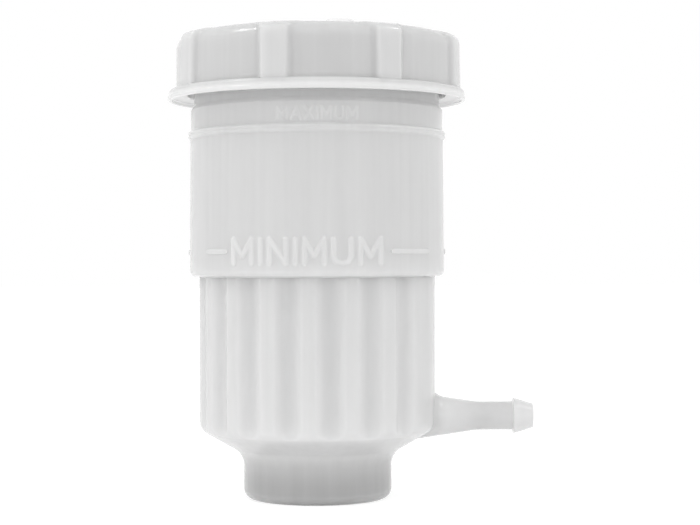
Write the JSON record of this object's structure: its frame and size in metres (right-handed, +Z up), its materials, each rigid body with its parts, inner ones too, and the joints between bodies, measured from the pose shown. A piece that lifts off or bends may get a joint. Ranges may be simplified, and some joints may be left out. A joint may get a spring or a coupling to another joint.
{
  "type": "brake fluid reservoir",
  "caption": "Translucent round fluid reservoir with ribbed screw cap, fluted lower body, open bottom spigot and barbed side hose stub.",
  "frame": {"origin": "centre of the bottom spigot's lower face, which the part stands on", "axes": "+Z up the vessel's axis, +X along the hose stub, -Y the side with the level marks"},
  "size_m": [0.0908, 0.0742, 0.1166],
  "materials": {
    "body_plastic": "translucent natural-white moulded plastic, satin with a soft gloss",
    "cap_plastic": "white moulded plastic, semi-gloss",
    "gasket_rubber": "matt black rubber",
    "baffle_plastic": "natural-white moulded plastic"
  },
  "bodies": {
    "reservoir": {"reservoir_body": "body_plastic"},
    "seal": {"cap_gasket": "gasket_rubber"},
    "cap": {"screw_cap": "cap_plastic", "vent_baffle": "baffle_plastic"}
  },
  "joints": [
    {"name": "cap_lift", "type": "slide", "parent": "reservoir", "child": "seal", "axis": [0, 0, 1], "range_m": [0, 0.015]},
    {"name": "cap_turn", "type": "hinge", "parent": "seal", "child": "cap", "pos_m": [0, 0, 0], "axis": [0, 0, 1], "range_deg": [0, 1080]}
  ],
  "couplings": [
    {"joint": "cap_lift", "follows": "cap_turn", "m_per_rad": 0.00079577}
  ]
}
